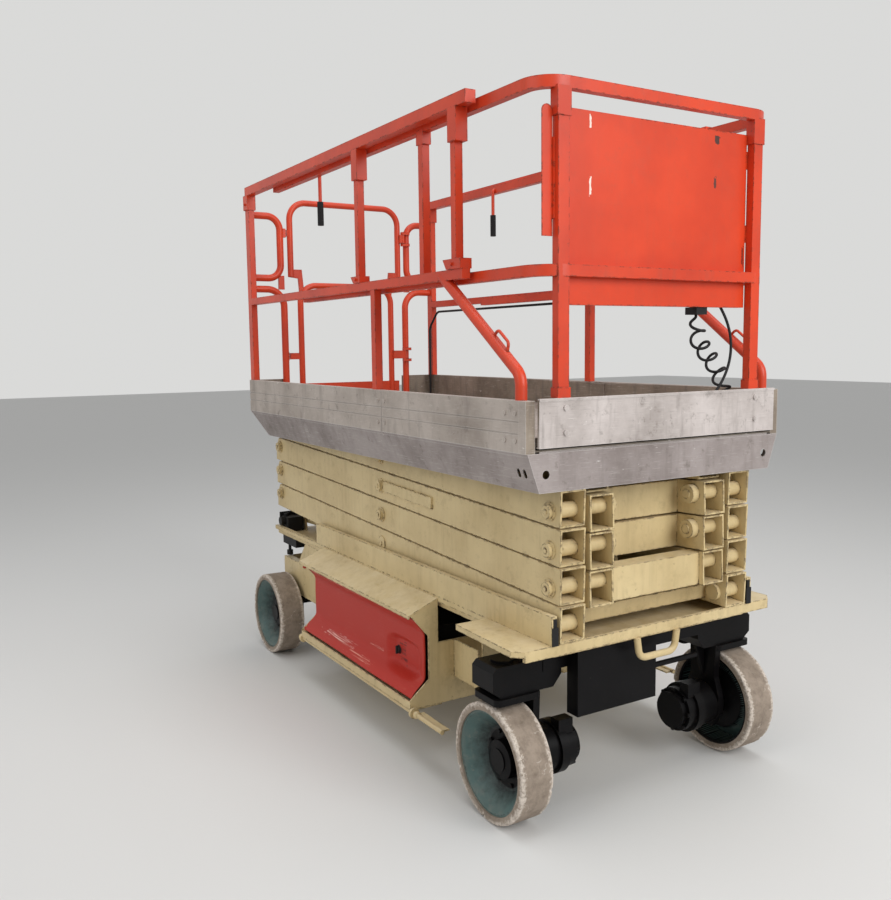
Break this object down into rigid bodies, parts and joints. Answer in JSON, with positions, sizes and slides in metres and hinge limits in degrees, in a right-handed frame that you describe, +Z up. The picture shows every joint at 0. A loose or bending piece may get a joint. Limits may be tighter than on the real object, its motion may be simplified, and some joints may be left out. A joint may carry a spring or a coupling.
{
  "type": "scissor lift",
  "caption": "Self-propelled battery scissor lift: stacked scissor arms on a wheeled chassis carry a railed platform with a roll-out deck extension and rear gate.",
  "frame": {"origin": "on the ground, at the centre of the lift's footprint", "axes": "+X to the steering end where the extension rolls out, +Y to the machine's left, +Z up"},
  "size_m": [2.536, 1.2, 2.4],
  "materials": {
    "cream": "semi-gloss, worn",
    "orange": "semi-gloss, scuffed",
    "grey_boards": "satin, stained",
    "deck_sheet": "dull tread plate",
    "black_steel": "gloss, dirty",
    "red_cover": "moulded",
    "tyre_rubber": "dusty non-marking",
    "wheel_paint": "semi-gloss, dusty",
    "black_plastic": "matt",
    "grip_rubber": "matt",
    "bright_steel": "oiled",
    "battery_case": "matt",
    "cable_sheath": "matt"
  },
  "bodies": {
    "chassis": {"chassis_frame": "cream", "slide_channels": "cream", "channel_stops": "black_plastic", "pivot_brackets": "cream", "side_box_left": "cream", "side_box_right": "cream", "battery_block": "battery_case", "hydraulic_block": "battery_case", "front_axle": "black_steel", "steer_cylinder": "black_steel", "rear_axle": "black_steel", "tow_loop": "cream", "ground_station": "black_plastic", "ladder": "cream"},
    "door_left": {"door_left": "red_cover"},
    "door_right": {"door_right": "red_cover"},
    "pothole_bar_left": {"pothole_bar_left": "cream"},
    "pothole_bar_right": {"pothole_bar_right": "cream"},
    "knuckle_left": {"knuckle_left": "black_steel"},
    "knuckle_right": {"knuckle_right": "black_steel"},
    "wheel_front_left": {"tyre_front_left": "tyre_rubber", "wheel_disc_front_left": "wheel_paint"},
    "wheel_front_right": {"tyre_front_right": "tyre_rubber", "wheel_disc_front_right": "wheel_paint"},
    "wheel_rear_left": {"tyre_rear_left": "tyre_rubber", "wheel_disc_rear_left": "wheel_paint"},
    "wheel_rear_right": {"tyre_rear_right": "tyre_rubber", "wheel_disc_rear_right": "wheel_paint"},
    "inner_arm_4": {"inner_arm_4": "cream"},
    "outer_arm_4": {"outer_arm_4": "cream"},
    "inner_arm_3": {"inner_arm_3": "cream"},
    "outer_arm_3": {"outer_arm_3": "cream"},
    "inner_arm_2": {"inner_arm_2": "cream"},
    "outer_arm_2": {"outer_arm_2": "cream"},
    "inner_arm_1": {"inner_arm_1": "cream"},
    "outer_arm_1": {"outer_arm_1": "cream"},
    "lift_barrel": {"lift_barrel": "black_steel"},
    "lift_rod": {"lift_rod": "bright_steel"},
    "platform": {"platform_frame": "grey_boards", "platform_channels": "cream", "platform_brackets": "cream", "deck_floor": "deck_sheet", "toe_boards": "grey_boards", "side_rails_left": "orange", "side_rails_right": "orange", "rear_loop_left": "orange", "rear_loop_right": "orange", "side_cable": "cable_sheath"},
    "gate": {"gate": "orange"},
    "extension": {"extension_deck": "grey_boards", "extension_rails": "orange", "front_panel": "orange", "swing_handles": "grip_rubber", "control_box": "black_plastic", "cord_lead": "cable_sheath", "cord_curl": "cable_sheath", "cord_connector": "black_plastic"}
  },
  "joints": [
    {"name": "lift", "type": "hinge", "parent": "chassis", "child": "inner_arm_4", "pos_m": [-1.184, 0, 0.68], "axis": [0, -1, 0], "range_deg": [0, 66.9]},
    {"name": "centre_pivot_4", "type": "hinge", "parent": "inner_arm_4", "child": "outer_arm_4", "pos_m": [0, 0, 0.7425], "axis": [0, -1, 0], "range_deg": [-134, 0.2]},
    {"name": "rear_pivot_3", "type": "hinge", "parent": "outer_arm_4", "child": "inner_arm_3", "pos_m": [-1.184, 0, 0.805], "axis": [0, -1, 0], "range_deg": [-0.2, 134]},
    {"name": "centre_pivot_3", "type": "hinge", "parent": "inner_arm_3", "child": "outer_arm_3", "pos_m": [0, 0, 0.8675], "axis": [0, -1, 0], "range_deg": [-134, 0.2]},
    {"name": "rear_pivot_2", "type": "hinge", "parent": "outer_arm_3", "child": "inner_arm_2", "pos_m": [-1.184, 0, 0.93], "axis": [0, -1, 0], "range_deg": [-0.2, 134]},
    {"name": "centre_pivot_2", "type": "hinge", "parent": "inner_arm_2", "child": "outer_arm_2", "pos_m": [0, 0, 0.9925], "axis": [0, -1, 0], "range_deg": [-134, 0.2]},
    {"name": "rear_pivot_1", "type": "hinge", "parent": "outer_arm_2", "child": "inner_arm_1", "pos_m": [-1.184, 0, 1.055], "axis": [0, -1, 0], "range_deg": [-0.2, 134]},
    {"name": "centre_pivot_1", "type": "hinge", "parent": "inner_arm_1", "child": "outer_arm_1", "pos_m": [0, 0, 1.1175], "axis": [0, -1, 0], "range_deg": [-134, 0.2]},
    {"name": "platform_pivot", "type": "hinge", "parent": "outer_arm_1", "child": "platform", "pos_m": [-1.184, 0, 1.18], "axis": [0, -1, 0], "range_deg": [-0.2, 67.1]},
    {"name": "cylinder_foot", "type": "hinge", "parent": "inner_arm_4", "child": "lift_barrel", "pos_m": [0.94, 0, 0.79212], "axis": [0, -1, 0], "range_deg": [-137.82, 0.2]},
    {"name": "rod_slide", "type": "slide", "parent": "lift_barrel", "child": "lift_rod", "axis": [-0.9976, 0, 0.0696], "range_m": [-0.001, 0.295]},
    {"name": "door_left", "type": "hinge", "parent": "chassis", "child": "door_left", "pos_m": [-0.544, 0.566, 0.4], "axis": [0, 0, 1], "range_deg": [0, 95]},
    {"name": "pothole_bar_left", "type": "hinge", "parent": "chassis", "child": "pothole_bar_left", "pos_m": [0, 0.572, 0.194], "axis": [1, 0, 0], "range_deg": [0, 85]},
    {"name": "steer_left", "type": "hinge", "parent": "chassis", "child": "knuckle_left", "pos_m": [1.05, 0.522, 0.45], "axis": [0, 0, 1], "range_deg": [-70, 70]},
    {"name": "spin_front_left", "type": "hinge", "parent": "knuckle_left", "child": "wheel_front_left", "pos_m": [1.05, 0.522, 0.203], "axis": [0, 1, 0], "continuous": true},
    {"name": "spin_rear_left", "type": "hinge", "parent": "chassis", "child": "wheel_rear_left", "pos_m": [-1.03, 0.522, 0.203], "axis": [0, 1, 0], "continuous": true},
    {"name": "door_right", "type": "hinge", "parent": "chassis", "child": "door_right", "pos_m": [-0.544, -0.566, 0.4], "axis": [0, 0, -1], "range_deg": [0, 95]},
    {"name": "pothole_bar_right", "type": "hinge", "parent": "chassis", "child": "pothole_bar_right", "pos_m": [0, -0.572, 0.194], "axis": [-1, 0, 0], "range_deg": [0, 85]},
    {"name": "steer_right", "type": "hinge", "parent": "chassis", "child": "knuckle_right", "pos_m": [1.05, -0.522, 0.45], "axis": [0, 0, 1], "range_deg": [-70, 70]},
    {"name": "spin_front_right", "type": "hinge", "parent": "knuckle_right", "child": "wheel_front_right", "pos_m": [1.05, -0.522, 0.203], "axis": [0, 1, 0], "continuous": true},
    {"name": "spin_rear_right", "type": "hinge", "parent": "chassis", "child": "wheel_rear_right", "pos_m": [-1.03, -0.522, 0.203], "axis": [0, 1, 0], "continuous": true},
    {"name": "gate_hinge", "type": "hinge", "parent": "platform", "child": "gate", "pos_m": [-1.196, 0.345, 1.85], "axis": [0, 0, 1], "range_deg": [0, 85]},
    {"name": "extension_slide", "type": "slide", "parent": "platform", "child": "extension", "axis": [1, 0, 0], "range_m": [0, 1.27]}
  ],
  "couplings": [
    {"joint": "centre_pivot_4", "follows": "lift", "ratio": -2},
    {"joint": "rear_pivot_3", "follows": "lift", "ratio": 2},
    {"joint": "centre_pivot_3", "follows": "lift", "ratio": -2},
    {"joint": "rear_pivot_2", "follows": "lift", "ratio": 2},
    {"joint": "centre_pivot_2", "follows": "lift", "ratio": -2},
    {"joint": "rear_pivot_1", "follows": "lift", "ratio": 2},
    {"joint": "centre_pivot_1", "follows": "lift", "ratio": -2},
    {"joint": "platform_pivot", "follows": "lift", "ratio": 1},
    {"joint": "cylinder_foot", "follows": "lift", "ratio": -2.0545},
    {"joint": "rod_slide", "follows": "lift", "m_per_rad": 0.2509},
    {"joint": "pothole_bar_left", "follows": "pothole_bar_right", "ratio": 1},
    {"joint": "steer_right", "follows": "steer_left", "ratio": 1}
  ]
}
